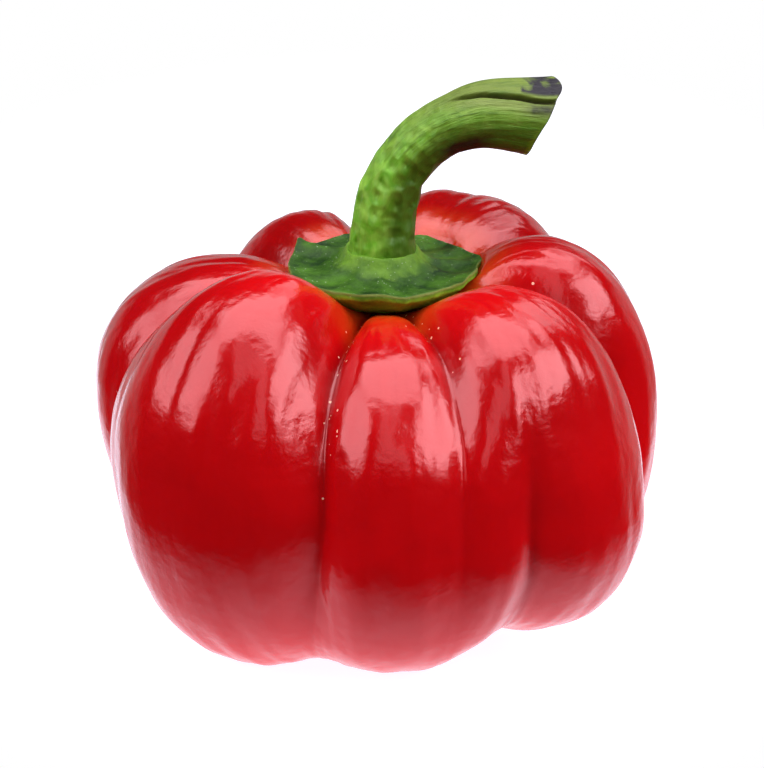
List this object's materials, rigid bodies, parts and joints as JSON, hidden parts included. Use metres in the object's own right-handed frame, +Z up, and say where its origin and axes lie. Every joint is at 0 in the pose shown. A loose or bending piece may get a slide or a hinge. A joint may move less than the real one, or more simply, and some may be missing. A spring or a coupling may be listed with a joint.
{
  "type": "bell pepper",
  "caption": "Ripe bell pepper with a squat, deeply lobed body, a disc-shaped calyx set in the hollow of its top and a thick bent stem, resting on the tips of its lobes.",
  "frame": {"origin": "middle of the whole box, on the surface that the pepper rests on", "axes": "+Z up from the surface towards the stem, -Y towards the viewer of the reference view, +X to that viewer's right, where the stem bends over"},
  "size_m": [0.092, 0.0868, 0.0909],
  "materials": {
    "skin": "smooth, waxy and very glossy deep red skin, lighter and more orange round the calyx",
    "calyx": "dark green, finely bumpy, half matt, with a thin brown-edged rim",
    "stem": "fresh green, ridged and pebbly, half matt, with a dark dried cut end"
  },
  "bodies": {
    "root": {"fruit": "skin", "calyx": "calyx", "stem": "stem"}
  },
  "joints": []
}
